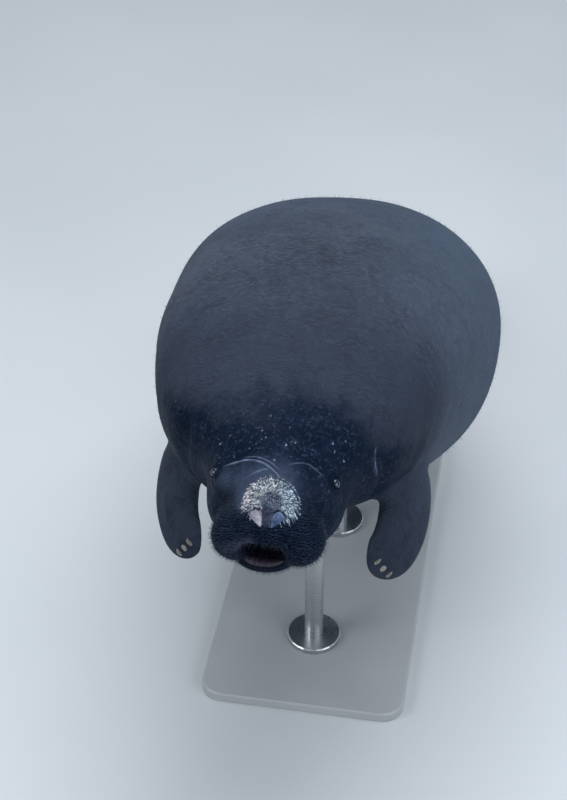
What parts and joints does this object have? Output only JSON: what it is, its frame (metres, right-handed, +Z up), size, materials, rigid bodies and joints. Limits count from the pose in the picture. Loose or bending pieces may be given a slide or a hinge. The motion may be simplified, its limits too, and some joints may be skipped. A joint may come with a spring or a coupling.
{
  "type": "manatee",
  "caption": "Life-size manatee hanging at the water's surface with its head level and mouth a little open, held by a low display stand",
  "frame": {"origin": "centre of the flat underside of the stand's base, on the floor", "axes": "+Z up; the body runs along Y with its head toward -Y and its tail toward +Y; +X is the animal's left"},
  "size_m": [0.8716, 2.7126, 1.404],
  "materials": {
    "skin_body": "fine-wrinkled wet grey hide",
    "skin_head": "dark wet wrinkled hide with short bristles and a pale scaly patch round the nostrils",
    "mouth_pad": "moist dull pink pad",
    "eye": "wet black",
    "nail": "dull horn",
    "stand_paint": "satin grey paint",
    "stand_steel": "brushed"
  },
  "bodies": {
    "root": {"neck": "skin_body", "torso_front": "skin_body", "torso_middle": "skin_body", "torso_rear": "skin_body", "tail_stock": "skin_body", "tail_paddle": "skin_body", "flipper_left_arm": "skin_body", "flipper_left_hand": "skin_body", "flipper_right_arm": "skin_body", "flipper_right_hand": "skin_body", "head": "skin_head", "muzzle": "skin_head", "lower_jaw": "skin_head", "mouth_pad": "mouth_pad", "eye_left": "eye", "eye_right": "eye", "nail_left_1": "nail", "nail_left_2": "nail", "nail_left_3": "nail", "nail_right_1": "nail", "nail_right_2": "nail", "nail_right_3": "nail", "stand_base": "stand_paint", "stand_saddle_front": "stand_paint", "stand_saddle_rear": "stand_paint", "stand_foot_front": "stand_steel", "stand_foot_rear": "stand_steel", "stand_rod_front": "stand_steel", "stand_rod_rear": "stand_steel"}
  },
  "joints": []
}
